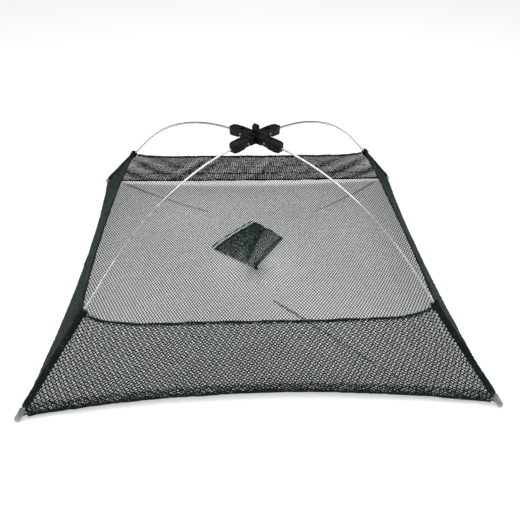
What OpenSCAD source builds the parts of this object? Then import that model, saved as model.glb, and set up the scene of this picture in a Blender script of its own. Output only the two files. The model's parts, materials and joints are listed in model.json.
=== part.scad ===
// Folding crab trap: a netting basin hung on four sprung steel rods that hinge on a cross-shaped hub.
// Millimetres, +Z up. The origin is on the ground, under the middle of the hub. The front is -Y.

/* [Frame] */
// Height of the hinge pins above the ground
pivot_height = 229; // [220:1:240]
// Distance from the hub's axis to each hinge pin
pivot_radius = 23; // [22:0.5:24]
// Slope of each rod where it leaves its socket, in degrees
rod_start_slope = 4; // [2:0.5:6]
// Slope of each rod's straight lower run, in degrees
rod_end_slope = 41.5; // [40:0.5:43]
// Radius of the bend between the two
bend_radius = 352; // [340:1:360]
// Diameter of the rods
rod_d = 3; // [2.4:0.1:3.2]

/* [Hub] */
// Width of the cross bars and the rod sockets
bar_width = 14; // [12:0.5:16]
// Height of the cross bars
bar_height = 11; // [10:0.5:12]
// Length of the solid block of each rod socket
socket_length = 18.5; // [17:0.5:21]
// Diameter of the hinge pins
pin_d = 2.4; // [2:0.1:3.2]
// Diameter of the lifting eye's hole
eye_bore_d = 4.2; // [3:0.1:4.6]

/* [Feet] */
// Outside diameter of the end caps
cap_d = 8; // [7:0.1:9]
// Length of the end caps above the centre of their round ends
cap_length = 12; // [10:0.5:13]

/* [Netting] */
// Height of the rim's corners, measured up the slope of the wall
rim_height = 124; // [110:1:130]
// How far the rim sags between its corners
rim_sag = 15; // [8:1:18]
// How far the bottom seam draws in between the feet
seam_draw_in = 19; // [10:1:24]
// How far the bottom seam lifts between the feet
seam_lift = 6; // [3:0.5:8]
// Thickness that the netting takes up
net_thickness = 0.8; // [0.6:0.1:1]
// Outside diameter of the netting gathered round each rod
sleeve_d = 9; // [8:0.5:10]
// Diameter of the cord in the rim
rim_cord_d = 2.4; // [1.8:0.1:2.6]
// Diameter of the cord in the bottom seam
seam_cord_d = 2; // [1.6:0.1:2.4]

/* [Bait pocket] */
// Thickness of the pocket's plump lobes
pocket_thickness = 16; // [12:1:20]

/* [Hidden] */
CORNERS = ["front_left", "front_right", "back_right", "back_left"];
SIDES = ["front", "right", "back", "left"];
// Each side's wall in two halves: the one by corner i, then the one by the next corner
HALVES = [
    ["front_left", "front_right"],
    ["right_front", "right_back"],
    ["back_right", "back_left"],
    ["left_back", "left_front"]
];
// Direction of each corner from the hub, and of each side of the basin, in degrees
CORNER_ANGLES = [225, 315, 45, 135];
SIDE_ANGLES = [270, 0, 90, 180];

round_fn = 48;
small_fn = 24;
// Play in a turning fit, on the radius
running_gap = 0.05;
// Space between soft parts that move apart
soft_gap = 0.4;
eps = 0.01;

tongue_width = 6;
// Where the solid block of a socket starts, measured from its pin
socket_root = 5.5;

// The rod's line in its own upright plane: r runs out from the hub's axis, z runs up
socket_end_r = pivot_radius + 31;
socket_end_z = pivot_height - (socket_end_r - pivot_radius) * tan(rod_start_slope);
bend_r = socket_end_r - bend_radius * sin(rod_start_slope);
bend_z = socket_end_z - bend_radius * cos(rod_start_slope);
straight_r = bend_r + bend_radius * sin(rod_end_slope);
straight_z = bend_z + bend_radius * cos(rod_end_slope);
foot_z = cap_d / 2;
straight_length = (straight_z - foot_z) / sin(rod_end_slope);
foot_r = straight_r + straight_length * cos(rod_end_slope);
rod_in_socket = 22;
rod_tip_gap = 1.2;

// Each wall lies in the plane of its two rods' straight runs
foot_half_span = foot_r / sqrt(2);
wall_slope = atan2(sin(rod_end_slope), cos(rod_end_slope) / sqrt(2));
tie_distance = rim_height * sin(wall_slope) / sin(rod_end_slope);
tie_length = 6;
tie_d = sleeve_d + 3.5;
sleeve_start = cap_length + 2;

ear_gap = 0.3;
ear_radius = 5;
tongue_radius = 4.5;
shoulder = 6;
lap_gap = 0.1;
hump_height = 3;
eye_radius = 4.5;
eye_thickness = 6;
eye_stem_d = 5;
eye_rise = 6.5;
eye_flange_d = 10;
eye_flange_height = 1.5;

// Points of the front side. s runs from 0 at its middle to 1 at the rod.
seam_half_span = foot_half_span - 2;
function seam_point(s) = [
    s * seam_half_span,
    -seam_half_span + seam_draw_in * (1 - s * s),
    foot_z + 1 + seam_lift * (1 - s * s)
];
function rim_point(s, up) = let (
    v = up - rim_sag * (1 - pow(s, 9)),
    half = foot_half_span - up * cos(wall_slope)
) [s * half, -foot_half_span + v * cos(wall_slope), foot_z + v * sin(wall_slope)];
// On the wall t runs from 0 at the bottom seam to 1 at the rim
function wall_point(s, t) = seam_point(s) + t * (rim_point(s, rim_height) - seam_point(s));
// On the floor t runs from 0 at the hub's axis to 1 at the seam
function floor_point(s, t) = let (edge = seam_point(s)) [
    edge[0] * t,
    edge[1] * t,
    floor_z + (edge[2] - floor_z) * pow(t, 6)
];
floor_z = 1.5;
wall_rows = [0.02, 0.25, 0.5, 0.75, 0.975];
wall_columns = 10;
// Rows of the floor's grid: t, and how far towards its diagonals the row reaches
floor_rows = [
    [0.993, 0.972],
    [0.96, 0.998],
    [0.88, 0.998],
    [0.75, 0.998],
    [0.5, 0.998],
    [0.25, 0.998],
    [0.012, 0.96]
];
floor_columns = 6;
cord_steps = 14;
half_gap = [soft_gap / 2, 0, 0];
nowhere = [0, 0, 0];
rim_reach = 1 - 0.75 * tie_d / (foot_half_span - rim_height * cos(wall_slope));
seam_reach = 1 - 1.6 * sleeve_d / foot_half_span;

// The bait pocket lies on the floor behind the middle: x, y and radius of each rounded corner
POCKET_CORNERS = [
    [-64, 46, 6],
    [-4, 114, 7],
    [48, 72, 7],
    [2, -4, 2.6]
];
// The two plump lobes, each as two points along its ridge
POCKET_LOBES = [
    [-36, 58, 6],
    [-8, 88, 6],
    [18, 70, 6],
    [26, 46, 6]
];
pocket_floor = 2.8;
drawstring_d = 1.6;
DRAWSTRING_PATH = [
    [-71, 47, 9],
    [-67, 56, 10],
    [-52, 72, 11],
    [-32, 94, 11],
    [-15, 113, 10],
    [-10, 122, 9]
];
STITCH_PLACE = [2, -9.4, 2.4];

// A closed sheet of even thickness over a grid of points, thickened along the direction "up"
module net_sheet(rows, up, thickness) {
    n = len(rows);
    m = len(rows[0]);
    flat = [for (row = rows) each row];
    points = concat(
        [for (p = flat) p - up * thickness / 2],
        [for (p = flat) p + up * thickness / 2]
    );
    top = n * m;
    function at(i, j) = i * m + j;
    inner = [for (i = [0:n - 2]) for (j = [0:m - 2]) each [
        [at(i, j), at(i, j + 1), at(i + 1, j + 1)],
        [at(i, j), at(i + 1, j + 1), at(i + 1, j)]
    ]];
    outer = [for (f = inner) [f[2] + top, f[1] + top, f[0] + top]];
    border = concat(
        [for (j = [0:m - 1]) at(0, j)],
        [for (i = [1:n - 1]) at(i, m - 1)],
        [for (j = [m - 2:-1:0]) at(n - 1, j)],
        [for (i = [n - 2:-1:1]) at(i, 0)]
    );
    k = len(border);
    side = [for (i = [0:k - 1]) let (a = border[i], b = border[(i + 1) % k]) each [
        [b, a, a + top],
        [b, a + top, b + top]
    ]];
    polyhedron(points = points, faces = concat(inner, outer, side), convexity = 6);
}

// A round rod or cord along a list of points, none of it upright
module cord(path, diameter, sides = 8) {
    n = len(path);
    function ahead(i) = let (d = path[min(i + 1, n - 1)] - path[max(i - 1, 0)]) d / norm(d);
    function ring(i) = let (
        t = ahead(i),
        a = cross(t, [0, 0, 1]) / norm(cross(t, [0, 0, 1])),
        b = cross(a, t)
    ) [for (k = [0:sides - 1])
        path[i] + diameter / 2 * (a * cos(360 * k / sides) + b * sin(360 * k / sides))];
    points = [for (i = [0:n - 1]) each ring(i)];
    wall = [for (i = [0:n - 2]) for (k = [0:sides - 1]) let (l = (k + 1) % sides) each [
        [i * sides + k, (i + 1) * sides + k, (i + 1) * sides + l],
        [i * sides + k, (i + 1) * sides + l, i * sides + l]
    ]];
    first = [[for (k = [0:sides - 1]) k]];
    last = [[for (k = [sides - 1:-1:0]) (n - 1) * sides + k]];
    polyhedron(points = points, faces = concat(first, wall, last), convexity = 6);
}

// Places its children, made with r along +X, on the arm of corner i
module on_arm(i) {
    rotate([0, 0, CORNER_ANGLES[i]]) children();
}

// Places its children, made for the front side, on side i
module on_side(i) {
    rotate([0, 0, SIDE_ANGLES[i] + 90]) children();
}

// Places its children, made along +Z from the foot's centre, on the rod's straight run
module along_rod() {
    translate([foot_r, 0, foot_z])
        rotate([0, rod_end_slope - 90, 0])
            children();
}

// A turned solid across the arm, centred on its plane
module across(d, width) {
    rotate([90, 0, 0]) cylinder(d = d, h = width, center = true, $fn = round_fn);
}

module bar_blank() {
    body = pivot_radius - shoulder;
    cube([2 * body, bar_width, bar_height], center = true);
    for (side = [0, 180]) {
        rotate([0, 0, side]) translate([pivot_radius, 0, 0]) {
            across(2 * tongue_radius, tongue_width);
            translate([-shoulder - 1, -tongue_width / 2, -tongue_radius])
                cube([shoulder + 1, tongue_width, 2 * tongue_radius]);
        }
    }
}

module bar_holes() {
    cylinder(d = eye_stem_d + 2 * running_gap, h = 60, center = true, $fn = round_fn);
    for (side = [-1, 1]) {
        translate([side * pivot_radius, 0, 0]) across(pin_d + 2 * running_gap, 2 * bar_width);
    }
}

// The bar that passes over: a saddle in the middle and a lap cut from below
module cross_bar_upper() {
    lap = bar_width + 2 * lap_gap;
    color([0.03, 0.03, 0.03])
        translate([0, 0, pivot_height]) rotate([0, 0, CORNER_ANGLES[2]]) difference() {
            union() {
                bar_blank();
                translate([0, 0, bar_height / 2 + hump_height / 2 - eps])
                    cube([lap + 6, bar_width - 1, hump_height + 2 * eps], center = true);
            }
            translate([-lap / 2, -bar_width, -bar_height])
                cube([lap, 2 * bar_width, bar_height + lap_gap / 2]);
            bar_holes();
        }
}

// The bar that passes under, with its lap cut from above
module cross_bar_lower() {
    lap = bar_width + 2 * lap_gap;
    color([0.03, 0.03, 0.03])
        translate([0, 0, pivot_height]) rotate([0, 0, CORNER_ANGLES[3]]) difference() {
            bar_blank();
            translate([-lap / 2, -bar_width, -lap_gap / 2])
                cube([lap, 2 * bar_width, bar_height]);
            bar_holes();
        }
}

// Headed stem that joins the two bars and carries the hauling line
module lifting_eye() {
    top = bar_height / 2 + hump_height + lap_gap;
    stem_bottom = -bar_height / 2 - lap_gap;
    color([0.04, 0.04, 0.04])
        translate([0, 0, pivot_height]) rotate([0, 0, CORNER_ANGLES[2]]) difference() {
            union() {
                translate([0, 0, stem_bottom])
                    cylinder(d = eye_stem_d, h = top - stem_bottom + 1, $fn = round_fn);
                translate([0, 0, stem_bottom - eye_flange_height])
                    cylinder(d = eye_flange_d, h = eye_flange_height, $fn = round_fn);
                translate([0, 0, top])
                    cylinder(d = eye_flange_d, h = eye_flange_height, $fn = round_fn);
                translate([-eye_radius, -eye_thickness / 2, top + eye_flange_height - eps])
                    cube([2 * eye_radius, eye_thickness, eye_rise - eye_flange_height + eps]);
                translate([0, 0, top + eye_rise]) across(2 * eye_radius, eye_thickness);
            }
            translate([0, 0, top + eye_rise]) across(eye_bore_d, 4 * eye_thickness);
        }
}

module hinge_pin(i) {
    color([0.62, 0.63, 0.64])
        on_arm(i) translate([pivot_radius, 0, pivot_height]) {
            across(pin_d, bar_width + 0.2);
            for (side = [-1, 1]) {
                translate([0, side * (bar_width / 2 + 0.5), 0]) across(pin_d + 1, 0.8);
            }
        }
}

// Moulded block that grips the rod and hinges on the bar's tongue with two ears
module rod_socket(i) {
    ear_width = (bar_width - tongue_width) / 2 - ear_gap;
    taper = 2;
    color([0.03, 0.03, 0.03])
        on_arm(i) translate([pivot_radius, 0, pivot_height]) difference() {
            union() {
                // block with a narrowed outer end
                rotate([0, rod_start_slope, 0]) linear_extrude(bar_height + 1, center = true)
                    polygon([
                        [socket_root, -bar_width / 2],
                        [socket_root + socket_length - 5, -bar_width / 2],
                        [socket_root + socket_length, -bar_width / 2 + taper],
                        [socket_root + socket_length, bar_width / 2 - taper],
                        [socket_root + socket_length - 5, bar_width / 2],
                        [socket_root, bar_width / 2]
                    ]);
                for (side = [-1, 1]) {
                    translate([0, side * (bar_width / 2 - ear_width / 2), 0]) {
                        across(2 * ear_radius, ear_width);
                        // square upper corner of the ear, the stop against the bar's shoulder
                        translate([-shoulder + 0.3, -ear_width / 2, 0])
                            cube([shoulder + socket_root, ear_width, bar_height / 2]);
                        translate([0, -ear_width / 2, -ear_radius])
                            cube([socket_root + 1, ear_width, ear_radius + 1]);
                    }
                }
            }
            across(pin_d + 2 * running_gap, 2 * bar_width);
            rotate([0, 90 + rod_start_slope, 0]) translate([0, 0, socket_root + 2])
                cylinder(d = rod_d + 2 * running_gap, h = 40, $fn = round_fn);
        }
}

// Sprung steel rod: a short straight end in the socket, the bend, and the long straight run
module rod(i) {
    bend_steps = 24;
    straight_steps = 6;
    in_socket = [
        socket_end_r - rod_in_socket * cos(rod_start_slope),
        socket_end_z + rod_in_socket * sin(rod_start_slope)
    ];
    bend = [for (k = [0:bend_steps])
        let (slope = rod_start_slope + (rod_end_slope - rod_start_slope) * k / bend_steps)
        [bend_r + bend_radius * sin(slope), bend_z + bend_radius * cos(slope)]
    ];
    tip = [foot_r - rod_tip_gap * cos(rod_end_slope), foot_z + rod_tip_gap * sin(rod_end_slope)];
    straight = [for (k = [1:straight_steps]) bend[bend_steps] + (tip - bend[bend_steps]) * k / straight_steps];
    color([0.75, 0.76, 0.78])
        on_arm(i) cord([for (p = concat([in_socket], bend, straight)) [p[0], 0, p[1]]], rod_d, 16);
}

// Soft vinyl cap with a round end, pushed onto the rod
module end_cap(i) {
    lip = 1.4;
    color([0.55, 0.56, 0.57, 0.7])
        on_arm(i) along_rod() difference() {
            union() {
                sphere(d = cap_d, $fn = round_fn);
                cylinder(d = cap_d, h = cap_length, $fn = round_fn);
                translate([0, 0, cap_length - lip])
                    cylinder(d = cap_d + 0.7, h = lip, $fn = round_fn);
            }
            translate([0, 0, 1]) cylinder(d = rod_d + 2 * running_gap, h = 40, $fn = round_fn);
        }
}

// Netting hemmed round the rod, from the cap to the rim
module corner_sleeve(i) {
    color([0.04, 0.13, 0.11])
        on_arm(i) along_rod() difference() {
            translate([0, 0, sleeve_start])
                cylinder(d = sleeve_d, h = tie_distance - tie_length / 2 - sleeve_start - soft_gap, $fn = small_fn);
            cylinder(d = rod_d + 0.6, h = 2 * tie_distance, $fn = small_fn);
        }
}

// Twine whipped round the rod at the rim's corner
module rim_tie(i) {
    color([0.02, 0.05, 0.05])
        on_arm(i) along_rod() difference() {
            translate([0, 0, tie_distance - tie_length / 2])
                cylinder(d = tie_d, h = tie_length, $fn = small_fn);
            cylinder(d = rod_d + 0.6, h = 2 * tie_distance, $fn = small_fn);
        }
}

// Places its children, made for the right half of the front, on half 0 or 1 of side i
module on_half(i, half) {
    on_side(i) mirror([half == 0 ? 1 : 0, 0, 0]) children();
}

// The two half sides that meet at corner i
module on_both_halves(i) {
    on_half(i, 0) children();
    on_half((i + 3) % 4, 1) children();
}

// Cord in the rim, from the middle of one side round the corner to the middle of the next
module rim_cord(i) {
    color([0.03, 0.10, 0.09])
        on_both_halves(i) cord([for (k = [0:cord_steps])
            rim_point(rim_reach * k / cord_steps, rim_height) + (k == 0 ? half_gap : nowhere)
        ], rim_cord_d);
}

// Cord in the seam between the walls and the floor, divided in the same way
module seam_cord(i) {
    color([0.03, 0.10, 0.09])
        on_both_halves(i) cord([for (k = [0:cord_steps])
            seam_point(seam_reach * k / cord_steps) + (k == 0 ? half_gap : nowhere)
        ], seam_cord_d);
}

// Half of one sloping wall, from the middle of the side to the sleeve
module wall_net(i, half) {
    color([0.05, 0.16, 0.13])
        on_half(i, half) net_sheet([for (t = wall_rows) let (
            span = foot_half_span - t * rim_height * cos(wall_slope),
            first = soft_gap / 2 / span,
            last = 1 - sleeve_d / span
        ) [for (k = [0:wall_columns]) wall_point(first + (last - first) * k / wall_columns, t)]
        ], [0, -sin(wall_slope), cos(wall_slope)], net_thickness);
}

// One quarter of the floor, between two diagonals
module floor_net(i) {
    color([0.05, 0.16, 0.13])
        on_side(i) net_sheet([for (row = floor_rows) [for (k = [-floor_columns:floor_columns])
            floor_point(row[1] * k / floor_columns, row[0])
        ]], [0, 0, 1], net_thickness);
}

// Flat bag of fine netting, plump along two lobes, that holds the bait
module bait_pocket() {
    color([0.03, 0.12, 0.10]) hull() {
        for (p = POCKET_CORNERS) {
            translate([p[0], p[1], pocket_floor + p[2]]) sphere(r = p[2], $fn = small_fn);
        }
        for (p = POCKET_LOBES) {
            translate([p[0], p[1], pocket_floor + pocket_thickness - p[2]]) sphere(r = p[2], $fn = small_fn);
        }
    }
}

// Cord in the pocket's mouth
module pocket_drawstring() {
    color([0.02, 0.03, 0.03]) cord(DRAWSTRING_PATH, drawstring_d);
}

// Twine that ties the pocket's tail to the middle of the floor
module pocket_stitch() {
    color([0.02, 0.05, 0.05]) translate(STITCH_PLACE) cylinder(d = 4, h = 3.4, $fn = small_fn);
}

cross_bar_upper();
cross_bar_lower();
lifting_eye();
for (i = [0:3]) {
    hinge_pin(i);
    rod_socket(i);
    rod(i);
    end_cap(i);
    corner_sleeve(i);
    rim_tie(i);
    rim_cord(i);
    seam_cord(i);
    floor_net(i);
    for (half = [0, 1]) {
        wall_net(i, half);
    }
}
bait_pocket();
pocket_drawstring();
pocket_stitch();
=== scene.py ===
# %% [markdown]
# # A folding crab trap
# A square basin of knotted netting hangs on four sprung steel rods. The rods hinge on a small black hub and
# fold down together like the ribs of an umbrella. The CAD model holds the frame: the hub, the pins, the
# rods and where every piece goes. Here each soft piece gets its real form, and every surface gets its
# finish.

# %% Load the frame
import json
import math
import bpy
import bmesh
import numpy as np
from mathutils import Matrix, Vector


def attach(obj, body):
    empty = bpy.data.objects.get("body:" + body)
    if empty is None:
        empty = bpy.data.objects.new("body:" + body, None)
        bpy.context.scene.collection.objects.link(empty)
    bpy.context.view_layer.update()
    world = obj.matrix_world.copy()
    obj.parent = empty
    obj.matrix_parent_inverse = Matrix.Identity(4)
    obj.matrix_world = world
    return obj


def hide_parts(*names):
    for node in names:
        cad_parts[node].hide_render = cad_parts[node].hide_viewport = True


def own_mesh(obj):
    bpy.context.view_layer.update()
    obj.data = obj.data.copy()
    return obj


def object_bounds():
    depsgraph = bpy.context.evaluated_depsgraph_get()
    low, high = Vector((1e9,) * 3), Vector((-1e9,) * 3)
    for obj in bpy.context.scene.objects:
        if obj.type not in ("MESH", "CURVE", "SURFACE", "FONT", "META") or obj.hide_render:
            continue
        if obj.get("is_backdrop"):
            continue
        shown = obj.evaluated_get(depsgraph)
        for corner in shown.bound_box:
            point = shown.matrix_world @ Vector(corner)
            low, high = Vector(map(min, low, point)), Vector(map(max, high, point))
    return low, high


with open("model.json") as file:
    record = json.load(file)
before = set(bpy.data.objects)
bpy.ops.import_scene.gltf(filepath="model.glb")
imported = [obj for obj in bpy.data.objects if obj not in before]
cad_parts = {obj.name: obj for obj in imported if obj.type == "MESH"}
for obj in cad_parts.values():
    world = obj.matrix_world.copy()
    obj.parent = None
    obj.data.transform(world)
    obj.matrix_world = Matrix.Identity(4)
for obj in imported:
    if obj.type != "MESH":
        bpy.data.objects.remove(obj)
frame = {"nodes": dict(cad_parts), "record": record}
cad_box = [list(corner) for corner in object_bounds()]
CORNERS = ("front_left", "front_right", "back_right", "back_left")
SIDES = ("front", "right", "back", "left")
# Each side's wall in two halves: the one by corner i, then the one by the next corner
HALVES = (
    ("front_left", "front_right"),
    ("right_front", "right_back"),
    ("back_right", "back_left"),
    ("left_back", "left_front"),
)
print("CAD box in metres:", [[round(x, 4) for x in corner] for corner in cad_box])

# %% [markdown]
# ## Camera and stage
# The trap is seen from in front and above, close enough that its near feet spread wide. A pale floor
# without an edge and large soft lights leave the netting itself to make the picture.

# %% Camera
camera_place = Vector((-0.0300, -0.6992, 0.5403))
camera_pitch = math.radians(36.99)
camera_turn = math.radians(3.19)
camera_roll = math.radians(0.92)
camera_data = bpy.data.cameras.new("camera")
camera_data.lens = 36.78
camera_data.sensor_width = 36.0
camera_data.clip_start = 0.01
camera = bpy.data.objects.new("camera", camera_data)
camera.location = camera_place
camera.rotation_euler = (
    Matrix.Rotation(-camera_turn, 3, "Z")
    @ Matrix.Rotation(math.pi / 2 - camera_pitch, 3, "X")
    @ Matrix.Rotation(camera_roll, 3, "Z")
).to_euler()
bpy.context.scene.collection.objects.link(camera)
bpy.context.scene.camera = camera
print("camera at", tuple(round(x, 3) for x in camera_place))


# %% Stage and lights
def stage_floor(size, colour, glow):
    """A large pale floor. A little glow keeps it white under the netting."""
    mesh = bpy.data.meshes.new("stage_floor")
    h = size / 2
    mesh.from_pydata([(-h, -h, 0), (h, -h, 0), (h, h, 0), (-h, h, 0)], [], [(0, 1, 2, 3)])
    floor = bpy.data.objects.new("stage_floor", mesh)
    bpy.context.scene.collection.objects.link(floor)
    paper = bpy.data.materials.new("stage_paper")
    paper.use_nodes = True
    shader = paper.node_tree.nodes["Principled BSDF"]
    shader.inputs["Base Color"].default_value = (*colour, 1)
    shader.inputs["Roughness"].default_value = 0.9
    shader.inputs["Emission Color"].default_value = (1, 1, 1, 1)
    shader.inputs["Emission Strength"].default_value = glow
    mesh.materials.append(paper)
    floor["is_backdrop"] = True
    return floor


def soft_light(name, place, target, size, power):
    """A square area light that faces its target."""
    data = bpy.data.lights.new(name, "AREA")
    data.shape = "SQUARE"
    data.size = size
    data.energy = power
    light = bpy.data.objects.new(name, data)
    light.location = place
    light.rotation_euler = (Vector(target) - Vector(place)).to_track_quat("-Z", "Y").to_euler()
    bpy.context.scene.collection.objects.link(light)
    return light


stage_floor(12.0, (0.86, 0.86, 0.86), 0.42)
hub_place = (0, 0, 0.23)
soft_light("overhead_softbox", (0.2, 0.3, 1.9), (0, 0, 0), 1.6, 11)
soft_light("left_softbox", (-1.5, -0.9, 1.2), hub_place, 1.0, 6)
soft_light("right_softbox", (1.6, -0.6, 1.1), hub_place, 1.0, 5)
world = bpy.data.worlds.new("studio")
world.use_nodes = True
# bright overhead and dark towards the horizon, so that the polished rods show dark edges against the pale
# floor
sky = world.node_tree.nodes["Background"]
direction = world.node_tree.nodes.new("ShaderNodeTexCoord")
height = world.node_tree.nodes.new("ShaderNodeSeparateXYZ")
world.node_tree.links.new(direction.outputs["Generated"], height.inputs["Vector"])
gradient = world.node_tree.nodes.new("ShaderNodeValToRGB")
gradient.color_ramp.elements[0].position = 0.45
gradient.color_ramp.elements[0].color = (0.03, 0.03, 0.03, 1)
gradient.color_ramp.elements[1].position = 0.62
gradient.color_ramp.elements[1].color = (1, 1, 1, 1)
world.node_tree.links.new(height.outputs["Z"], gradient.inputs["Fac"])
world.node_tree.links.new(gradient.outputs["Color"], sky.inputs["Color"])
sky.inputs["Strength"].default_value = 0.7
bpy.context.scene.world = world
bpy.context.scene.view_settings.view_transform = "Standard"


# %% [markdown]
# ## Finishes
# Nine finishes cover the trap. The netting and the cords are polyester twine: nearly black green, a little
# glossy along the fibres, never one flat colour. The rods are bright drawn steel, the hub a satin moulded
# black, and the feet a soft grey vinyl that lets the rod show through. Each material reads Object
# coordinates, so its grain stays on the piece when it moves.

# %% A helper for materials
def new_finish(name, roughness, metallic=0.0):
    """A material with its shader and its object coordinates, ready for a pattern."""
    material = bpy.data.materials.new(name)
    material.use_nodes = True
    tree = material.node_tree
    shader = tree.nodes["Principled BSDF"]
    shader.inputs["Roughness"].default_value = roughness
    shader.inputs["Metallic"].default_value = metallic
    coordinates = tree.nodes.new("ShaderNodeTexCoord")
    return material, tree, shader, coordinates.outputs["Object"]


def add_noise(tree, vector, scale, detail=2.0, stretch=None):
    """Noise at a scale in cycles per metre, stretched along an axis where asked."""
    if stretch:
        mapping = tree.nodes.new("ShaderNodeMapping")
        mapping.inputs["Scale"].default_value = stretch
        tree.links.new(vector, mapping.inputs["Vector"])
        vector = mapping.outputs["Vector"]
    noise = tree.nodes.new("ShaderNodeTexNoise")
    noise.inputs["Scale"].default_value = scale
    noise.inputs["Detail"].default_value = detail
    tree.links.new(vector, noise.inputs["Vector"])
    return noise.outputs["Fac"]


def add_ramp(tree, factor, stops):
    """A colour ramp through (position, colour) stops."""
    ramp = tree.nodes.new("ShaderNodeValToRGB")
    elements = ramp.color_ramp.elements
    while len(elements) < len(stops):
        elements.new(0.5)
    for element, (position, colour) in zip(elements, stops):
        element.position = position
        element.color = (*colour, 1)
    tree.links.new(factor, ramp.inputs["Fac"])
    return ramp.outputs["Color"]


def add_bump(tree, shader, height, strength, distance):
    """Raises the surface by a pattern, at a real distance in metres."""
    bump = tree.nodes.new("ShaderNodeBump")
    bump.inputs["Strength"].default_value = strength
    bump.inputs["Distance"].default_value = distance
    tree.links.new(height, bump.inputs["Height"])
    tree.links.new(bump.outputs["Normal"], shader.inputs["Normal"])


def add_roughness(tree, shader, factor, low, high):
    """Lets the gloss vary between two roughness values."""
    spread = tree.nodes.new("ShaderNodeMapRange")
    spread.inputs["To Min"].default_value = low
    spread.inputs["To Max"].default_value = high
    tree.links.new(factor, spread.inputs["Value"])
    tree.links.new(spread.outputs["Result"], shader.inputs["Roughness"])


# %% [markdown]
# ### Twine
# Twine is a bundle of twisted filaments. Two noises do the work: a slow one drifts the dye from dark bottle
# green to nearly black, and a fine one breaks the highlight the way filaments do.

# %% Twine finishes
def twine_finish(name, dark, light, roughness):
    """Dyed polyester twine between two greens."""
    material, tree, shader, place = new_finish(name, roughness)
    drift = add_noise(tree, place, 60.0, 3.0)
    colour = add_ramp(tree, drift, ((0.3, dark), (0.7, light)))
    tree.links.new(colour, shader.inputs["Base Color"])
    fibres = add_noise(tree, place, 2600.0, 2.0)
    add_bump(tree, shader, fibres, 0.35, 0.0002)
    shader.inputs["Sheen Weight"].default_value = 0.04
    shader.inputs["Specular IOR Level"].default_value = 0.22
    return material


net_finish = twine_finish("net_twine", (0.003, 0.014, 0.011), (0.009, 0.036, 0.028), 0.6)
cord_finish = twine_finish("edge_cord", (0.002, 0.009, 0.007), (0.006, 0.024, 0.019), 0.5)
tie_finish = twine_finish("tie_twine", (0.0015, 0.005, 0.004), (0.004, 0.014, 0.012), 0.55)
pocket_finish = twine_finish("pocket_twine", (0.005, 0.022, 0.017), (0.014, 0.055, 0.043), 0.5)
drawstring_finish = twine_finish("drawstring", (0.001, 0.002, 0.002), (0.004, 0.007, 0.006), 0.5)
print("twine finishes:", [m.name for m in bpy.data.materials if "twine" in m.name])

# %% [markdown]
# ### Steel, moulded plastic and vinyl
# Drawn steel is a mirror with fine lines along the draw. The hub is a cheap black moulding: satin, with a
# faint orange-peel grain. Vinyl is cloudy, so light goes in, scatters and comes out grey.

# %% Hard finishes
def rod_steel_finish():
    """Bright drawn wire, lightly scuffed."""
    material, tree, shader, place = new_finish("rod_steel", 0.2, 1.0)
    scuff = add_noise(tree, place, 220.0, 4.0)
    tone = add_ramp(tree, scuff, ((0.3, (0.57, 0.58, 0.59)), (0.65, (0.82, 0.83, 0.84))))
    tree.links.new(tone, shader.inputs["Base Color"])
    add_roughness(tree, shader, add_noise(tree, place, 900.0, 3.0), 0.08, 0.24)
    add_bump(tree, shader, add_noise(tree, place, 3500.0, 1.0), 0.12, 0.0001)
    return material


def pin_steel_finish():
    """Cut ends of steel pins, duller than the rods."""
    material, tree, shader, place = new_finish("pin_steel", 0.3, 1.0)
    tone = add_ramp(tree, add_noise(tree, place, 700.0, 3.0),
                    ((0.35, (0.20, 0.20, 0.21)), (0.7, (0.38, 0.38, 0.39))))
    tree.links.new(tone, shader.inputs["Base Color"])
    add_roughness(tree, shader, add_noise(tree, place, 1800.0, 2.0), 0.22, 0.42)
    return material


def hub_plastic_finish():
    """Black moulding with a faint grain and paler rubbed patches."""
    material, tree, shader, place = new_finish("hub_plastic", 0.38)
    wear = add_noise(tree, place, 90.0, 5.0)
    tone = add_ramp(tree, wear, ((0.35, (0.0025, 0.0025, 0.0027)), (0.75, (0.007, 0.007, 0.0073))))
    tree.links.new(tone, shader.inputs["Base Color"])
    add_roughness(tree, shader, add_noise(tree, place, 400.0, 3.0), 0.42, 0.62)
    shader.inputs["Specular IOR Level"].default_value = 0.22
    add_bump(tree, shader, add_noise(tree, place, 1500.0, 2.0), 0.25, 0.0002)
    return material


def vinyl_finish():
    """Cloudy soft vinyl."""
    material, tree, shader, place = new_finish("cap_vinyl", 0.3)
    cloud = add_noise(tree, place, 160.0, 3.0)
    tone = add_ramp(tree, cloud, ((0.3, (0.40, 0.41, 0.42)), (0.7, (0.60, 0.61, 0.62))))
    tree.links.new(tone, shader.inputs["Base Color"])
    shader.inputs["Transmission Weight"].default_value = 0.6
    shader.inputs["IOR"].default_value = 1.4
    add_roughness(tree, shader, add_noise(tree, place, 500.0, 2.0), 0.22, 0.4)
    return material


rod_finish = rod_steel_finish()
pin_finish = pin_steel_finish()
hub_finish = hub_plastic_finish()
cap_finish = vinyl_finish()
FINISHES = {
    "hub_plastic": hub_finish,
    "pin_steel": pin_finish,
    "rod_steel": rod_finish,
    "cap_vinyl": cap_finish,
    "netting": net_finish,
    "edge_cord": cord_finish,
    "tie_twine": tie_finish,
    "pocket_net": pocket_finish,
    "drawstring_cord": drawstring_finish,
}
print("finishes:", len(FINISHES))

# %% [markdown]
# ## Hard pieces
# A CAD solid has knife edges and flat facets. Real mouldings and wire don't: a moulding's edges are broken
# by a fraction of a millimetre, and that sliver catches the light. Each hard piece is a copy of its CAD
# node, merged and shaded smooth by angle, so it has the CAD's size to the hair; the mouldings and pins are
# also bevelled.

# %% Copies of the CAD solids
slot_of = {part["node"]: part["material_slot"] for part in frame["record"]["subparts"]}
body_of_node = {
    node: body
    for body, members in frame["record"]["behaviour"]["bodies"].items()
    for node in members
}


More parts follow.
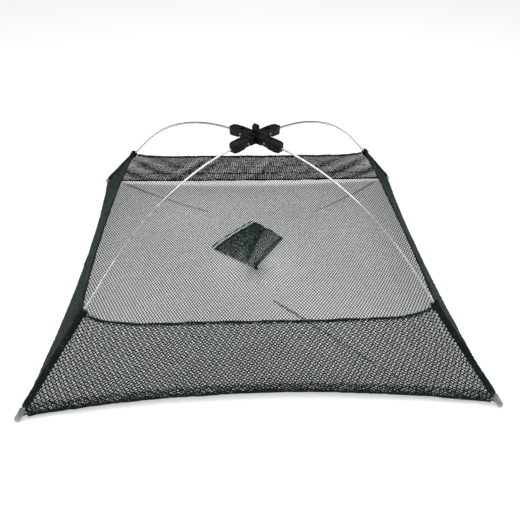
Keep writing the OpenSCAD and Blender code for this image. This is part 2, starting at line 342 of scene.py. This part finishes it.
def finish_copy(node, edge=0.0, smooth_angle=35.0):
    """A merged copy of a CAD node, with broken edges when an edge width is given, which takes its place."""
    mesh = frame["nodes"][node].data.copy()
    shape = bmesh.new()
    shape.from_mesh(mesh)
    bmesh.ops.remove_doubles(shape, verts=shape.verts, dist=1e-6)
    if edge:
        bmesh.ops.dissolve_limit(shape, angle_limit=math.radians(1.0), verts=shape.verts,
                                 edges=shape.edges)
        sharp = [e for e in shape.edges if e.is_manifold and e.calc_face_angle(0) > math.radians(30)]
        bmesh.ops.bevel(shape, geom=sharp, offset=edge, segments=2, profile=0.6,
                        affect="EDGES", clamp_overlap=True)
        bmesh.ops.triangulate(shape, faces=[f for f in shape.faces if len(f.verts) > 4])
    for face in shape.faces:
        face.smooth = True
    for e in shape.edges:
        e.smooth = not (e.is_manifold and e.calc_face_angle(0) > math.radians(smooth_angle))
    shape.to_mesh(mesh)
    shape.free()
    mesh.materials.clear()
    mesh.materials.append(FINISHES[slot_of[node]])
    piece = bpy.data.objects.new("finished_" + node, mesh)
    bpy.context.scene.collection.objects.link(piece)
    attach(piece, body_of_node[node])
    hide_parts(node)
    return piece


for node in ("cross_bar_upper", "cross_bar_lower", "lifting_eye"):
    finish_copy(node, edge=0.0006)
for corner in CORNERS:
    finish_copy("rod_socket_" + corner, edge=0.0007)
    finish_copy("hinge_pin_" + corner, edge=0.0003)
    finish_copy("rod_" + corner)
    finish_copy("end_cap_" + corner)

# %% [markdown]
# ## Strands and knots
# Netting is twine and knots, thousands of them, so it is the work of one Geometry Nodes tree. The script
# lays out the lines that the twine follows as bare edges. The tree turns each line into a round strand,
# sets a small knot wherever a point is marked as one, and gives both their finish. A strand's own thickness
# comes from an attribute, so cord, hem and netting can share the tree.

# %% The tree
def build_strand_tree():
    """Edges in, strands and knots out."""
    tree = bpy.data.node_groups.new("strands_and_knots", "GeometryNodeTree")
    sockets = tree.interface
    sockets.new_socket("Lines", in_out="INPUT", socket_type="NodeSocketGeometry")
    inputs = {
        "Twine diameter": ("NodeSocketFloat", 0.001),
        "Knot diameter": ("NodeSocketFloat", 0.002),
        "Sides": ("NodeSocketInt", 4),
        "Seed": ("NodeSocketInt", 7),
        "Finish": ("NodeSocketMaterial", None),
    }
    for label, (kind, value) in inputs.items():
        socket = sockets.new_socket(label, in_out="INPUT", socket_type=kind)
        if value is not None:
            socket.default_value = value
    sockets.new_socket("Netting", in_out="OUTPUT", socket_type="NodeSocketGeometry")
    nodes, link = tree.nodes, tree.links.new
    given = nodes.new("NodeGroupInput")
    result = nodes.new("NodeGroupOutput")

    thick = nodes.new("GeometryNodeInputNamedAttribute")
    thick.data_type = "FLOAT"
    thick.inputs["Name"].default_value = "thick"
    to_curve = nodes.new("GeometryNodeMeshToCurve")
    link(given.outputs["Lines"], to_curve.inputs["Mesh"])
    set_radius = nodes.new("GeometryNodeSetCurveRadius")
    link(to_curve.outputs["Curve"], set_radius.inputs["Curve"])
    link(thick.outputs["Attribute"], set_radius.inputs["Radius"])
    half = nodes.new("ShaderNodeMath")
    half.operation = "MULTIPLY"
    half.inputs[1].default_value = 0.5
    link(given.outputs["Twine diameter"], half.inputs[0])
    section = nodes.new("GeometryNodeCurvePrimitiveCircle")
    link(given.outputs["Sides"], section.inputs["Resolution"])
    link(half.outputs["Value"], section.inputs["Radius"])
    sweep = nodes.new("GeometryNodeCurveToMesh")
    sweep.inputs["Fill Caps"].default_value = True
    link(set_radius.outputs["Curve"], sweep.inputs["Curve"])
    link(section.outputs["Curve"], sweep.inputs["Profile Curve"])
    if "Scale" in sweep.inputs:
        link(thick.outputs["Attribute"], sweep.inputs["Scale"])

    marked = nodes.new("GeometryNodeInputNamedAttribute")
    marked.data_type = "BOOLEAN"
    marked.inputs["Name"].default_value = "knot"
    bead = nodes.new("GeometryNodeMeshIcoSphere")
    bead.inputs["Subdivisions"].default_value = 1
    half_knot = nodes.new("ShaderNodeMath")
    half_knot.operation = "MULTIPLY"
    half_knot.inputs[1].default_value = 0.5
    link(given.outputs["Knot diameter"], half_knot.inputs[0])
    link(half_knot.outputs["Value"], bead.inputs["Radius"])
    spread = nodes.new("FunctionNodeRandomValue")
    spread.data_type = "FLOAT"
    spread.inputs[2].default_value = 0.8
    spread.inputs[3].default_value = 1.2
    link(given.outputs["Seed"], spread.inputs["Seed"])
    place = nodes.new("GeometryNodeInstanceOnPoints")
    link(given.outputs["Lines"], place.inputs["Points"])
    link(marked.outputs["Attribute"], place.inputs["Selection"])
    link(bead.outputs["Mesh"], place.inputs["Instance"])
    link(spread.outputs[1], place.inputs["Scale"])

    both = nodes.new("GeometryNodeJoinGeometry")
    link(sweep.outputs["Mesh"], both.inputs["Geometry"])
    link(place.outputs["Instances"], both.inputs["Geometry"])
    real = nodes.new("GeometryNodeRealizeInstances")
    link(both.outputs["Geometry"], real.inputs["Geometry"])
    smooth = nodes.new("GeometryNodeSetShadeSmooth")
    link(real.outputs["Geometry"], smooth.inputs["Geometry"])
    paint = nodes.new("GeometryNodeSetMaterial")
    link(smooth.outputs["Geometry"], paint.inputs["Geometry"])
    link(given.outputs["Finish"], paint.inputs["Material"])
    link(paint.outputs["Geometry"], result.inputs["Netting"])
    return tree


strand_tree = build_strand_tree()
socket_of = {s.name: s.identifier for s in strand_tree.interface.items_tree if s.in_out == "INPUT"}
print("tree inputs:", sorted(socket_of))


# %% Lines to strands
class Lines:
    """Bare edges that twine follows, with each point's thickness and whether a knot sits there."""

    def __init__(self):
        self.points, self.edges, self.thick, self.knots = [], [], [], []
        self.count = 0

    def add(self, points, edges, thick=1.0, knots=False):
        points = np.asarray(points, float).reshape(-1, 3)
        self.points.append(points)
        self.edges.append(np.asarray(edges, int).reshape(-1, 2) + self.count)
        self.thick.append(np.broadcast_to(np.asarray(thick, float), len(points)))
        self.knots.append(np.broadcast_to(np.asarray(knots, bool), len(points)))
        self.count += len(points)
        return self

    def run(self, points, thick=1.0, knots=False):
        """One line through the points in order."""
        steps = np.arange(len(points) - 1)
        return self.add(points, np.stack([steps, steps + 1], 1), thick, knots)


def twine_piece(name, lines, node, body, finish, twine, knot=0.002, sides=4, seed=7):
    """Runs the tree over the lines and makes one plain mesh that rides with its body."""
    mesh = bpy.data.meshes.new(name + "_lines")
    points = np.concatenate(lines.points)
    mesh.vertices.add(len(points))
    mesh.vertices.foreach_set("co", points.astype(np.float32).ravel())
    edges = np.concatenate(lines.edges)
    mesh.edges.add(len(edges))
    mesh.edges.foreach_set("vertices", edges.astype(np.int32).ravel())
    thick = mesh.attributes.new("thick", "FLOAT", "POINT")
    thick.data.foreach_set("value", np.concatenate(lines.thick).astype(np.float32))
    marked = mesh.attributes.new("knot", "BOOLEAN", "POINT")
    marked.data.foreach_set("value", np.concatenate(lines.knots))
    source = bpy.data.objects.new(name + "_lines", mesh)
    bpy.context.scene.collection.objects.link(source)
    modifier = source.modifiers.new("strands", "NODES")
    modifier.node_group = strand_tree
    modifier[socket_of["Twine diameter"]] = twine
    modifier[socket_of["Knot diameter"]] = knot
    modifier[socket_of["Sides"]] = sides
    modifier[socket_of["Seed"]] = seed
    modifier[socket_of["Finish"]] = finish
    graph = bpy.context.evaluated_depsgraph_get()
    result = bpy.data.meshes.new_from_object(source.evaluated_get(graph))
    bpy.data.objects.remove(source)
    for attribute in ("thick", "knot"):
        if attribute in result.attributes:
            result.attributes.remove(result.attributes[attribute])
    piece = bpy.data.objects.new(name, result)
    bpy.context.scene.collection.objects.link(piece)
    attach(piece, body)
    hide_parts(node)
    return piece


# %% [markdown]
# ## The shape of the basin
# The netting hangs from the rods, so its shape follows from them. Between the feet the bottom seam draws in
# and lifts a little, and between the ties the rim sags: it drops fast beside each tie and then runs level,
# because the netting pulls down on it all the way along. These few functions give a point anywhere on a
# wall or on the floor, and every soft piece below is laid out with them.

# %% Measures of the frame
rod_end_slope = math.radians(41.5)
cap_radius = 0.004
# the far end of the foot's round cap lies one cap radius past the centre of the cap's round end
foot_half_span = cad_box[1][0] - cap_radius
foot_radius = foot_half_span * math.sqrt(2)
wall_slope = math.atan2(math.sin(rod_end_slope), math.cos(rod_end_slope) / math.sqrt(2))
rim_height = 0.124
seam_half_span = foot_half_span - 0.002
rim_half_span = foot_half_span - rim_height * math.cos(wall_slope)
floor_height = 0.0014
print("feet stand", round(2000 * foot_half_span), "mm apart; the walls slope",
      round(math.degrees(wall_slope), 1), "degrees")


# %% Edges of the basin
# How the four sides differ: sag of the rim, bow of the rim, and how far the seam draws in and lifts
SIDE_FORM = {
    "front": {"sag": 0.015, "bow": 0.000, "draw": 0.022, "lift": 0.005},
    "right": {"sag": 0.012, "bow": 0.002, "draw": 0.012, "lift": 0.004},
    "back": {"sag": 0.013, "bow": 0.000, "draw": 0.018, "lift": 0.008},
    "left": {"sag": 0.012, "bow": 0.006, "draw": 0.016, "lift": 0.005},
}


def waves(x, seed, count=4, base=1.0):
    """A smooth irregular curve between about -1 and 1, the same each run."""
    rng = np.random.default_rng(seed)
    total = np.zeros_like(np.asarray(x, float))
    for k in range(count):
        total += rng.uniform(0.5, 1.0) / (k + 1) * np.sin(
            base * (k + 1) * np.asarray(x) + rng.uniform(0, 6.28)
        )
    return total / 1.6


def seam_point(side, s):
    """The bottom seam of a side, made for the front; s is -1 and 1 at the feet."""
    form = SIDE_FORM[side]
    s = np.asarray(s, float)
    inward = form["draw"] * (1 - s ** 2)
    lift = form["lift"] * (1 - s ** 2)
    wobble = 0.0006 * waves(9 * s, 31 + SIDES.index(side), 5) * (1 - s ** 2)
    return np.stack([s * seam_half_span, -seam_half_span + inward + wobble, 0.005 + lift], -1)


def rim_point(side, s):
    """The rim cord of a side; it drops fast beside the ties."""
    form = SIDE_FORM[side]
    s = np.asarray(s, float)
    v = rim_height - form["sag"] * (1 - np.abs(s) ** 9)
    v = v + 0.0010 * waves(7 * s, 11 + SIDES.index(side), 5) * (1 - s ** 2)
    out = foot_half_span - v * math.cos(wall_slope) + form["bow"] * (1 - s ** 2)
    return np.stack([s * rim_half_span, -out, 0.004 + v * math.sin(wall_slope)], -1)


def wall_point(side, s, t):
    """A point of a wall: t is 0 at the seam and 1 at the rim."""
    s, t = np.broadcast_arrays(np.asarray(s, float), np.asarray(t, float))
    low, high = seam_point(side, s), rim_point(side, s)
    p = low + t[..., None] * (high - low)
    # pull lines from the ties and soft waves between them
    seed = SIDES.index(side)
    slack = np.sin(math.pi * t) * (1 - s ** 2)
    ripple = 0.0022 * waves(11 * s + 2 * t, 51 + seed, 5) * slack
    tension = 0.0014 * np.sin(26 * (np.abs(s) - 0.55 * t)) * t * (1 - t) * 4 * np.abs(s) ** 2
    normal = np.array([0, -math.sin(wall_slope), math.cos(wall_slope)])
    return p + (ripple + tension)[..., None] * normal


def floor_point(x, y):
    """A point of the floor; x and y run from -1 to 1 and meet the four seams."""
    x, y = np.broadcast_arrays(np.asarray(x, float), np.asarray(y, float))
    near = {side: SIDE_FORM[side] for side in SIDES}
    draw_x = np.where(x > 0, near["right"]["draw"], near["left"]["draw"])
    draw_y = np.where(y > 0, near["back"]["draw"], near["front"]["draw"])
    lift_x = np.where(x > 0, near["right"]["lift"], near["left"]["lift"])
    lift_y = np.where(y > 0, near["back"]["lift"], near["front"]["lift"])
    px = x * (seam_half_span - draw_x * (1 - y ** 2))
    py = y * (seam_half_span - draw_y * (1 - x ** 2))
    # the netting drifts a little between its edges and is drawn in where the pocket's tail is stitched down
    free = (1 - x ** 2) * (1 - y ** 2)
    px = px + free * (0.0060 * np.sin(2.6 * y + 0.7) + 0.0030 * np.sin(5.5 * x + 3.1 * y))
    py = py + free * (0.0075 * np.sin(2.9 * x + 1.1) + 0.0035 * np.sin(6.3 * y - 2.4 * x))
    stitch = np.hypot(px - 0.002, py + 0.0094)
    draw = 0.30 * np.exp(-(stitch / 0.034) ** 2)
    px = px + draw * (0.002 - px)
    py = py + draw * (-0.0094 - py)
    edge_x = x ** 8 * (0.0036 + lift_x * (1 - y ** 2))
    edge_y = y ** 8 * (0.0036 + lift_y * (1 - x ** 2))
    pz = floor_height + np.maximum(edge_x, edge_y) + 0.35 * np.minimum(edge_x, edge_y)
    return np.stack([px, py, pz], -1)


def on_side(side, p):
    """Turns points made for the front to their own side."""
    turn = SIDES.index(side) * math.pi / 2
    c, s = math.cos(turn), math.sin(turn)
    return p @ np.array([[c, s, 0], [-s, c, 0], [0, 0, 1]])


print("rim at the middle of the front:", np.round(1000 * rim_point("front", 0.0), 1), "mm")

# %% [markdown]
# ## Walls and floor
# Two sets of lines that cross make a lattice of diamonds. On the floor the diamonds are long from front to
# back, on the walls they are long from side to side, because the netting there is stretched between the
# rods. Each wall is made in two halves and the floor in four quarters, since each goes its own way when the
# trap folds. A line that crosses from one quarter to the next is given whole to one of them, so no gap
# shows while the trap is open.

# %% The lattice
def lattice(columns, rows, keep, surface, jitter=0.0, seed=1):
    """Crossing lines over a grid of half steps. keep picks the piece's stretches, by their middle."""
    i0, i1 = columns
    j0, j1 = rows
    rng = np.random.default_rng(seed)
    shift = rng.normal(0, jitter, (i1 - i0 + 1, j1 - j0 + 1, 3)) if jitter else None
    lines = Lines()
    for lean in (1, -1):
        i, j = np.meshgrid(np.arange(i0, i1 + 1), np.arange(j0, j1), indexing="ij")
        ends = i + lean
        good = ((i + j) % 2 == 0) & (ends >= i0) & (ends <= i1)
        i, j, ends = i[good], j[good], ends[good]
        wanted = keep((i + ends) / 2, j + 0.5)
        i, j, ends = i[wanted], j[wanted], ends[wanted]
        start = (i - i0) * (j1 - j0 + 1) + (j - j0)
        finish = (ends - i0) * (j1 - j0 + 1) + (j + 1 - j0)
        used, index = np.unique(np.concatenate([start, finish]), return_inverse=True)
        ui, uj = used // (j1 - j0 + 1), used % (j1 - j0 + 1)
        points = surface(ui + i0, uj + j0)
        if shift is not None:
            points = points + shift[ui, uj]
        half = len(start)
        lines.add(points, np.stack([index[:half], index[half:]], 1), knots=lean == 1)
    return lines


def gather_to_rod(piece):
    """Gives a piece of a wall its own copy of its mesh."""
    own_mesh(piece)


def gather_floor(piece):
    """Gives a piece of the floor its own copy of its mesh. Folded, it doesn't meet the walls."""
    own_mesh(piece)


floor_columns = 120
floor_rows = 70
FLOOR_CREASES = {
    "back": [((-0.90, 0.97), (-0.30, 0.62)), ((0.90, 0.95), (0.42, 0.58))],
    "front": [((0.10, -0.35), (0.62, -0.90))],
}
wall_columns = 60
wall_rows = 52
net_twine = 0.00115
net_knot = 0.0019


def floor_piece(side):
    """One quarter of the floor, between the two diagonals."""
    turn = SIDES.index(side)

    def belongs(i, j):
        x, y = i / floor_columns, j / floor_rows
        across, along = {0: (x, -y), 1: (y, x), 2: (x, y), 3: (y, -x)}[turn]
        return along >= np.abs(across)

    lines = lattice(
        (-floor_columns, floor_columns), (-floor_rows, floor_rows), belongs,
        lambda i, j: floor_point(i / floor_columns, j / floor_rows), jitter=0.00004, seed=100,
    )
    # faint creases that run in from the corners, where the netting is doubled a little
    for start, stop in FLOOR_CREASES.get(side, ()):
        u = np.linspace(0, 1, 50)
        for k in range(3):
            x = start[0] + u * (stop[0] - start[0])
            y = (start[1] + u * (stop[1] - start[1]) + 0.006 * (k - 1) * (1 - u)
                 + 0.008 * waves(5 * u, 990 + k, 3))
            lines.run(floor_point(x, y) + [0, 0, 0.0006], thick=0.8 * (1 - 0.5 * u))
    piece = twine_piece("floor_netting_" + side, lines, "floor_net_" + side, "floor_" + side,
                        net_finish, net_twine, net_knot, seed=3 + turn)
    gather_floor(piece)
    return piece


def wall_piece(side, half):
    """Half of one wall: half 0 lies by the side's first corner, half 1 by the next."""
    name = HALVES[SIDES.index(side)][half]
    corner = CORNERS[(SIDES.index(side) + half) % 4]
    sign = -1 if half == 0 else 1
    lines = lattice(
        (0, wall_columns), (0, wall_rows), lambda i, j: i >= 0,
        lambda i, j: on_side(side, wall_point(side, sign * i / wall_columns, j / wall_rows)),
        jitter=0.00006, seed=200 + SIDES.index(side),
    )
    piece = twine_piece("wall_netting_" + name, lines, "wall_net_" + name, "arm_" + corner,
                        net_finish, net_twine, net_knot, seed=20 + SIDES.index(side))
    gather_to_rod(piece)
    return piece


floor_pieces = {side: floor_piece(side) for side in SIDES}
wall_pieces = {(side, half): wall_piece(side, half) for side in SIDES for half in (0, 1)}
for piece in (floor_pieces["front"], wall_pieces[("front", 0)]):
    piece.data.calc_loop_triangles()
    print(piece.name, len(piece.data.loop_triangles), "triangles")

# %% [markdown]
# ## Sleeves and ties
# Down each rod the netting of two walls is threaded on and bunches into a dark sleeve, bound tight at the
# foot. Strands wind round the rod both ways in two layers. Where the rim meets the rod, a whipping of
# heavier twine and a few tangled loops make the knot.

# %% Points round a rod
CORNER_ANGLES = dict(zip(CORNERS, (225, 315, 45, 135)))
tie_distance = rim_height * math.sin(wall_slope) / math.sin(rod_end_slope)


def round_rod(corner, distance, around, radius):
    """Points round a rod's straight run, by distance up from the foot, angle and radius."""
    angle = math.radians(CORNER_ANGLES[corner])
    out = np.array([math.cos(angle), math.sin(angle), 0.0])
    up = np.array([0.0, 0.0, 1.0])
    along = -out * math.cos(rod_end_slope) + up * math.sin(rod_end_slope)
    across = np.cross(up, out)
    proud = np.cross(along, across)
    distance, around, radius = np.broadcast_arrays(
        *(np.asarray(v, float) for v in (distance, around, radius))
    )
    centre = out * foot_radius + up * 0.004 + distance[..., None] * along
    ring = np.cos(around)[..., None] * across + np.sin(around)[..., None] * proud
    return centre + radius[..., None] * ring


def whipping(corner, start, stop, radius, pitch, bulge=0.0):
    """A tight helix round the rod."""
    turns = (stop - start) / pitch
    u = np.linspace(0, 1, int(14 * turns))
    return round_rod(corner, start + u * (stop - start), 2 * math.pi * turns * u,
                     radius + bulge * np.sin(math.pi * u))


# %% Sleeves
def corner_sleeve(corner):
    lines = Lines()
    number = CORNERS.index(corner)
    u = np.linspace(0, 1, 64)
    distance = 0.017 + u * (tie_distance - 0.019)
    for layer, (radius, turns) in enumerate(((0.0027, 3.4), (0.0037, 2.7))):
        for hand in (1, -1):
            for k in range(9):
                seed = 400 + 100 * number + 20 * layer + 2 * k + (hand > 0)
                around = 2 * math.pi * (k / 9 + hand * turns * u) + 0.3 * waves(9 * u, seed, 4)
                wander = radius * (1 + 0.13 * waves(14 * u, seed + 7, 4))
                lines.run(round_rod(corner, distance, around, wander))
    lines.run(whipping(corner, 0.0145, 0.032, 0.0031, 0.0015, bulge=0.0009), thick=1.4)
    return twine_piece("sleeve_" + corner, lines, "corner_sleeve_" + corner, "arm_" + corner,
                       cord_finish, 0.0009, sides=4)


# %% Ties
tie_twine = 0.0011


def rim_tie(corner):
    """The whipping, tangled loops and two cut ends that bind the rim to one rod."""
    lines = Lines()
    number = CORNERS.index(corner)
    rng = np.random.default_rng(700 + number)
    band = whipping(corner, tie_distance - 0.004, tie_distance + 0.003, 0.0046, 0.0014, bulge=0.0008)
    lines.run(band, thick=1.3)
    for k in range(7):
        # each loop is a small tilted ring that passes close to the rod
        u = np.linspace(0, 2 * math.pi, 22)
        tilt, turn = rng.uniform(0.5, 1.3), rng.uniform(0, 6.28)
        distance = tie_distance + 0.0035 * np.sin(u + turn) * tilt
        lines.run(round_rod(corner, distance, u, 0.0048 + 0.0010 * np.cos(2 * u + turn)), thick=1.2)
    for k, reach in enumerate((0.013, 0.009)):
        # cut ends that hang down from the knot
        u = np.linspace(0, 1, 10)
        around = 4.4 + 1.3 * k + 0.5 * waves(4 * u, 720 + k + number, 3)
        lines.run(round_rod(corner, tie_distance - reach * u, around, 0.0052 + 0.0012 * u), thick=0.9)
    return twine_piece("tie_" + corner, lines, "rim_tie_" + corner, "arm_" + corner,
                       tie_finish, tie_twine, sides=5)


sleeves = {corner: corner_sleeve(corner) for corner in CORNERS}
ties = {corner: rim_tie(corner) for corner in CORNERS}
print("sleeves and ties:", len(sleeves) + len(ties))

# %% [markdown]
# ## Rim and bottom seam
# A cord runs in the hem of the rim and another in the bottom seam. The netting bunches round both, so each
# is a cord with a few strands that wander about it and one that is laced round. Above the front's bottom
# seam the netting is doubled, which makes a darker band.

# %% Hems
slope_out = np.array([0, -math.sin(wall_slope), math.cos(wall_slope)])
slope_up = np.array([0, math.cos(wall_slope), math.sin(wall_slope)])


def bunched_edge(side, half, line, reach, radius, cord_thick, droop, seed):
    """A cord along an edge, strands that wander round it and a lacing."""
    sign = -1 if half == 0 else 1
    s = sign * np.linspace(0, reach, 110)
    path = line(side, s)
    lines = Lines().run(on_side(side, path), thick=cord_thick)
    for k in range(8):
        swing = 2 * math.pi * k / 8 + 1.6 * waves(30 * s, seed + k, 4)
        off = radius * (0.85 + 0.5 * waves(24 * s, seed + 20 + k, 4)) * (1 + 1.1 * np.abs(s) ** 10)
        outward = (off * np.cos(swing))[:, None] * slope_out
        upward = (off * np.sin(swing) - droop * (k % 3))[:, None] * slope_up
        lines.run(on_side(side, path + (outward + upward)), thick=0.95)
    around = 2 * math.pi * np.abs(s) * 42
    lacing = path + radius * (np.cos(around)[:, None] * slope_out + np.sin(around)[:, None] * slope_up)
    return lines.run(on_side(side, lacing), thick=0.8)


def doubled_band(side, half, low, high, rows, columns, lift):
    """A second layer of netting over a band of the wall."""
    sign = -1 if half == 0 else 1

    def place(i, j):
        level = low + (high - low) * j / rows
        return on_side(side, wall_point(side, sign * (i + 0.4) / (columns + 1), level) + lift * slope_out)

    return lattice(
        (0, columns), (0, rows), lambda i, j: i >= 0, place,
        jitter=0.0002, seed=seed_of(side, half) + 5,
    )


def seed_of(side, half):
    return 800 + 20 * SIDES.index(side) + 10 * half


def joined(*groups):
    """Several sets of lines as one."""
    whole = Lines()
    for group in groups:
        for points, edges, thick, knots in zip(group.points, group.edges, group.thick, group.knots):
            start = whole.count
            whole.add(points, edges - edges.min(), thick, knots)
            assert whole.count == start + len(points)
    return whole


def lacing_end(side, corner):
    """A loose end of lacing that comes out of the netting and lies in a loop on the wall."""
    u = np.linspace(0, 1, 36)
    loop = wall_point(side, 0.82 + 0.055 * np.cos(6.6 * u), 0.42 + 0.30 * np.sin(6.6 * u + 0.5))
    route = on_side(side, loop + 0.0024 * slope_out)
    thread = 0.001
    piece = twine_piece("lacing_end", Lines().run(route), "rim_cord_" + corner, "arm_" + corner,
                        cord_finish, thread)
    gather_to_rod(piece)


hem_twine = 0.0009
edges_of_basin = []
for side in SIDES:
    for half in (0, 1):
        corner = CORNERS[(SIDES.index(side) + half) % 4]
        name = HALVES[SIDES.index(side)][half]
        rim = bunched_edge(side, half, rim_point, 0.972, 0.0014, 2.4, 0.0012, seed_of(side, half))
        if side == "back":
            # creases across the wall, left by the way it was packed
            creases = []
            for k, level in enumerate((0.27, 0.29, 0.56)):
                u = (-1 if half == 0 else 1) * np.linspace(0, 0.93, 70)
                fold = wall_point(side, u, level + 0.02 * waves(6 * u, 970 + k, 3)) + 0.0013 * slope_out
                creases.append(Lines().run(on_side(side, fold), thick=1.1))
            rim = joined(rim, *creases)
        if name == "right_back":
            lacing_end(side, corner)
        rim_piece = twine_piece("rim_" + name, rim, "rim_cord_" + corner, "arm_" + corner,
                                cord_finish, hem_twine)
        seam = joined(
            bunched_edge(side, half, seam_point, 0.968, 0.0010, 1.9, -0.0012, seed_of(side, half) + 50),
            doubled_band(side, half, 0.0, 0.12, 8, 74, 0.0007) if side == "front"
            else doubled_band(side, half, 0.0, 0.02, 2, 60, 0.0007),
        )
        seam_piece = twine_piece("seam_" + name, seam, "seam_cord_" + corner, "arm_" + corner,
                                 cord_finish, hem_twine)
        for piece in (rim_piece, seam_piece):
            gather_to_rod(piece)
            edges_of_basin.append(piece)
print("rim and seam pieces:", len(edges_of_basin))

# %% [markdown]
# ## Bait pocket
# The pocket is a flat bag of finer netting, gathered by a drawstring along its back left edge and tied down
# by its tail. Two plump lobes with a crease between them are the empty bag's slack.

# %% The pocket's shape
POCKET = {"tail": (0.001, -0.009), "left": (-0.068, 0.047), "back": (0.006, 0.128), "right": (0.054, 0.076)}


def crease_line(u):
    """Where the crease between the lobes lies: it starts at a notch in the right edge."""
    return 0.38 + 0.42 * (1 - u)


def pocket_point(u, v, top):
    """A point of the bag: u from left to right, v from the hem down to the tail."""
    u, v = np.broadcast_arrays(np.asarray(u, float), np.asarray(v, float))
    left, back, right, tail = (np.array(POCKET[k]) for k in ("left", "back", "right", "tail"))
    flat = ((1 - u) * (1 - v))[..., None] * left + (u * (1 - v))[..., None] * back
    flat = flat + (u * v)[..., None] * right + ((1 - u) * v)[..., None] * tail
    pull = 0.10 * np.sin(math.pi * u) * np.sin(math.pi * v)
    centre = (left + back + right + tail) / 4
    flat = flat + pull[..., None] * (centre - flat)
    round_edge = (np.clip(4 * u * (1 - u), 0, 1) * np.clip(4 * v * (1 - v), 0, 1)) ** 0.45
    crease = 1 - 0.80 * np.exp(-((v - crease_line(u)) / 0.055) ** 2)
    rumple = 1 + 0.22 * waves(8 * u + 5 * v, 61, 4) + 0.12 * waves(19 * v - 7 * u, 62, 4)
    height = 0.0135 * round_edge * crease * np.clip(rumple, 0.5, 1.5) if top else 0.0012 * round_edge
    return np.concatenate([flat, (0.0031 + height)[..., None]], -1)


# %% The pocket, its drawstring and its stitch
def gather_pocket(piece):
    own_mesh(piece)


def in_rear_lobe(u, v):
    return v <= crease_line(u)


# the rear lobe is folded over to three layers; the front lobe has an open under layer
layers = [
    lattice((0, grid), (0, grid), lambda i, j, g=grid, keep=keep: keep(i / g, j / g),
            lambda i, j, g=grid, top=top, lift=lift: pocket_point(i / g, j / g, top) + [0, 0, lift],
            jitter=0.0001, seed=900 + number)
    for number, (grid, keep, top, lift) in enumerate((
        (50, lambda u, v: u >= 0, True, 0.0),
        (50, in_rear_lobe, True, -0.0016),
        (50, in_rear_lobe, False, 0.0),
        (30, lambda u, v: ~in_rear_lobe(u, v), False, 0.0),
    ))
]
hem = Lines()
for k in range(9):
    u = np.linspace(0, 1, 60)
    v = 0.011 * k + 0.010 * waves(16 * u, 910 + k, 4)
    hem.run(pocket_point(u, np.clip(v, 0, 1), True) + [0, 0, 0.0006 * (k % 3)], thick=1.6)
for k in range(5):
    # the fold where the front lobe overlaps the rear one, in heavy strands that also paint the shadow under
    # the lobe's raised edge, and the front lobe's own lower edge
    u = np.linspace(0.08, 1, 44)
    fold = crease_line(u) + 0.008 * (k - 2) + 0.010 * waves(9 * u, 930 + k, 3)
    hem.run(pocket_point(u, fold, True) + [0, 0, 0.0004 * k], thick=2.0)
    edge = np.clip(1 - 0.012 * k + 0.006 * waves(11 * u, 940 + k, 3), 0, 1)
    hem.run(pocket_point(u - 0.06, edge, True) + [0, 0, 0.0005], thick=1.4)
u = np.array([0.12, 0.16, 0.22, 0.29, 0.34])
hem.run(pocket_point(u, np.array([0.42, 0.48, 0.51, 0.51, 0.49]), True) + [0, 0, 0.0006], thick=1.5)
pocket = twine_piece("pocket_netting", joined(*layers, hem), "bait_pocket", "floor_back",
                     pocket_finish, 0.0007, knot=0.0011)
gather_pocket(pocket)

drawstring_path = np.array([(-71, 47, 6), (-66, 55, 7), (-50, 74, 8), (-29, 97, 8), (-9, 119, 7),
                            (2, 130, 6)]) / 1000
steps = np.linspace(0, len(drawstring_path) - 1, 60)
string = np.stack([
    np.interp(steps, np.arange(len(drawstring_path)), drawstring_path[:, k]) for k in range(3)
], 1)
drawstring = twine_piece("drawstring", Lines().run(string), "pocket_drawstring", "floor_back",
                         drawstring_finish, 0.0016, sides=8)
gather_pocket(drawstring)

stitch_lines = Lines()
rng = np.random.default_rng(950)
for k in range(9):
    u = np.linspace(0, 2 * math.pi, 18)
    ring = np.stack([np.cos(u), np.sin(u) * rng.uniform(0.5, 1.0), np.sin(u + rng.uniform(0, 6)) * 0.6], 1)
    stitch_lines.run(np.array([0.002, -0.0094, 0.0038]) + (0.0014 + 0.0002 * k) * ring, thick=1.1)
stitch = twine_piece("stitch", stitch_lines, "pocket_stitch", "floor_back", tie_finish, 0.0009, sides=5)
gather_pocket(stitch)
print("pocket:", len(pocket.data.polygons), "faces")

# %% [markdown]
# ## Size
# The box of the finished trap is set beside the CAD's, and how much larger it is in each direction is
# printed.

# %% The two boxes
size = {"cad": [list(map(float, corner)) for corner in cad_box],
        "visual": [list(map(float, corner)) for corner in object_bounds()]}
growth = [
    round(1000 * (size["visual"][1][k] - size["visual"][0][k] - size["cad"][1][k] + size["cad"][0][k]), 1)
    for k in range(3)
]
print("the finished trap is larger than the CAD by", growth, "mm")
